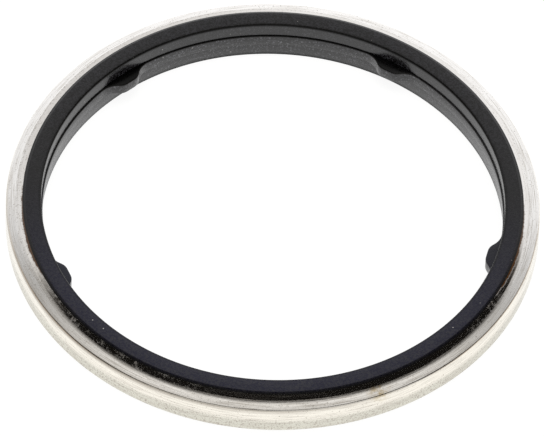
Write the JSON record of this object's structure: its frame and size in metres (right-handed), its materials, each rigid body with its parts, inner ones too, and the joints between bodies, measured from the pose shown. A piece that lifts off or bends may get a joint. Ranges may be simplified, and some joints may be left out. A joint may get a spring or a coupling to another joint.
{
  "type": "seal ring",
  "caption": "Flat seal ring: a bevelled metal support ring with a black rubber seal bonded in its bore and small rubber lugs that grip the stud.",
  "frame": {"origin": "centre of the lower lip face, which the ring lies on", "axes": "+Z along the ring's axis, up; +X and +Y in the plane of the lower face, with one lug 60 degrees from +X towards +Y"},
  "size_m": [0.05, 0.05, 0.0043],
  "materials": {
    "plated_steel": "bright zinc plate over tumbled steel, satin",
    "seal_rubber": "moulded nitrile rubber, semi-matt"
  },
  "bodies": {
    "root": {"metal_ring": "plated_steel", "rubber_seal": "seal_rubber"}
  },
  "joints": []
}
